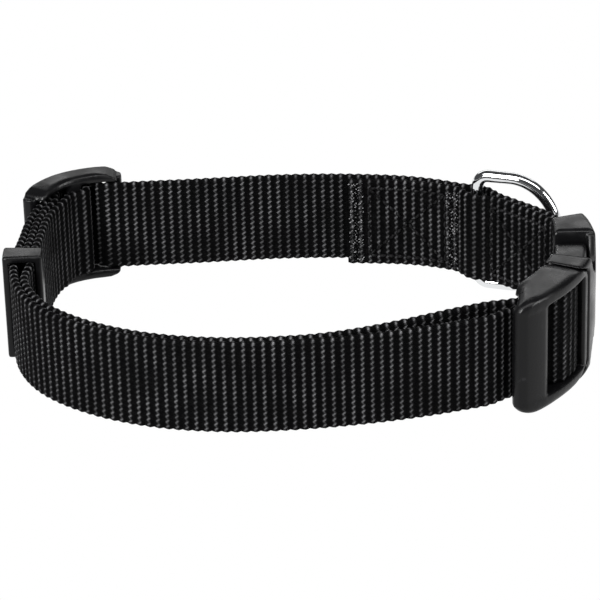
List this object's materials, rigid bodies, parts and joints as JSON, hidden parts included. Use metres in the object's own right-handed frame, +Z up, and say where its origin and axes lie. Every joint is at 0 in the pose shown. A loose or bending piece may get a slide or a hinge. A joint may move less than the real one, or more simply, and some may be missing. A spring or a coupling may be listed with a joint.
{
  "type": "dog collar",
  "caption": "Adjustable flat webbing dog collar, fastened into its loop by a side-release buckle, with a curved slider, a keeper and a ring for a lead.",
  "frame": {"origin": "on the surface the collar stands on, under the middle of its bounding box", "axes": "+Z up, across the width of the strap; +X from the slider's end of the loop to the buckle's; +Y from the front of the loop to its back, where the slider and the ring are"},
  "size_m": [0.1548, 0.102, 0.0352],
  "materials": {
    "webbing": "woven black nylon, ribbed across the strap",
    "plastic": "moulded black plastic with a satin sheen",
    "chrome": "bright plated steel wire"
  },
  "bodies": {
    "collar": {"webbing": "webbing", "buckle_male": "plastic", "buckle_female": "plastic", "slider": "plastic", "keeper": "plastic"},
    "ring": {"d_ring": "chrome"}
  },
  "joints": [
    {"name": "ring_swing", "type": "hinge", "parent": "collar", "child": "ring", "pos_m": [0.04864, 0.03432, 0.0176], "axis": [0, 0, 1], "range_deg": [0, 110]}
  ]
}
